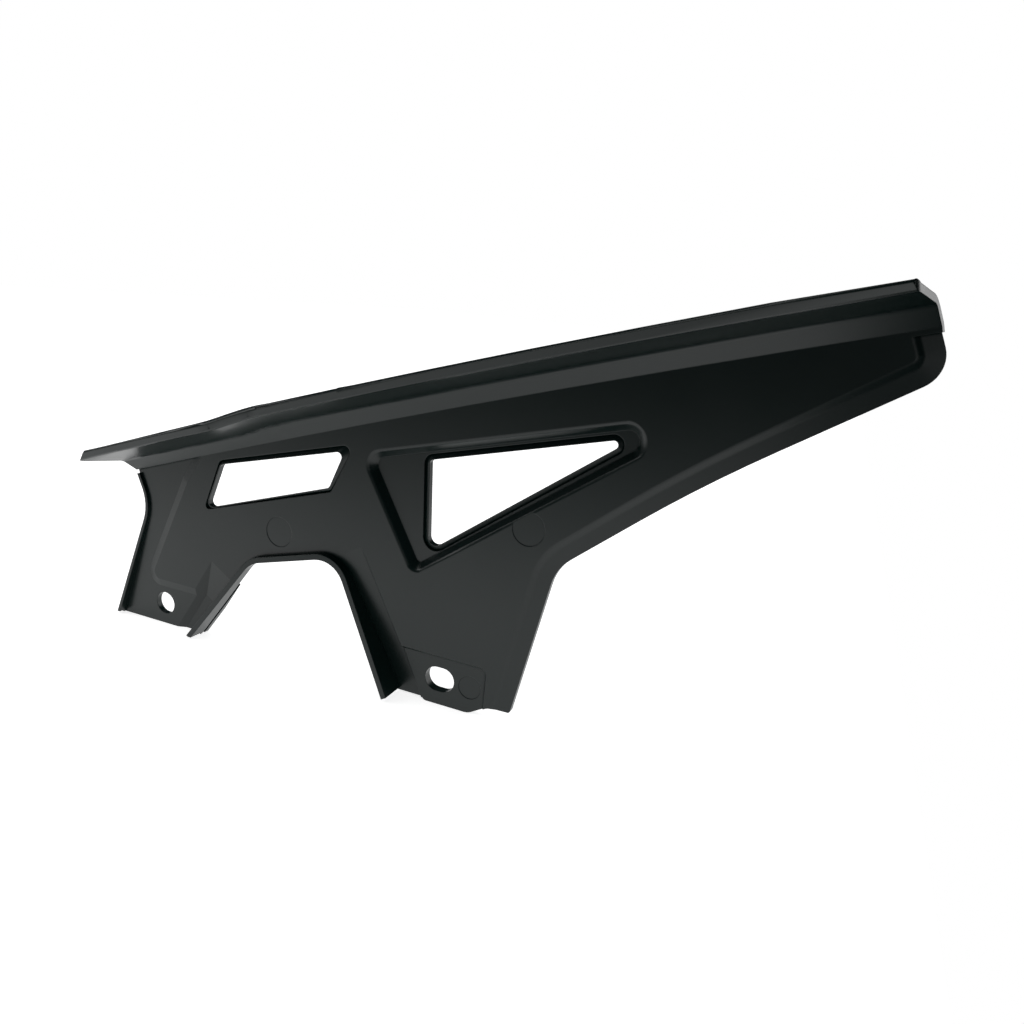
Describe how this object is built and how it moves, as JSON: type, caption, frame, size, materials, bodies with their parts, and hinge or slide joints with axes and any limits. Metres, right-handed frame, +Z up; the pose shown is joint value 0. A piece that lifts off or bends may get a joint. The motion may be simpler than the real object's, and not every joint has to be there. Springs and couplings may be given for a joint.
{
  "type": "motorcycle chain guard",
  "caption": "Moulded chain guard: a tapering wall on bolt legs under a folded flange, with a triangular and a slanted window, stepped pockets and rimmed edges.",
  "frame": {"origin": "on the axis of the round bolt hole, half way through its pad", "axes": "+X along the chain towards the blade's tip, +Y from the chain side to the outer side, +Z up"},
  "size_m": [0.2994, 0.0267, 0.1641],
  "materials": {
    "body_plastic": "satin black moulded plastic with a fine grain"
  },
  "bodies": {
    "root": {"chain_guard": "body_plastic"}
  },
  "joints": []
}
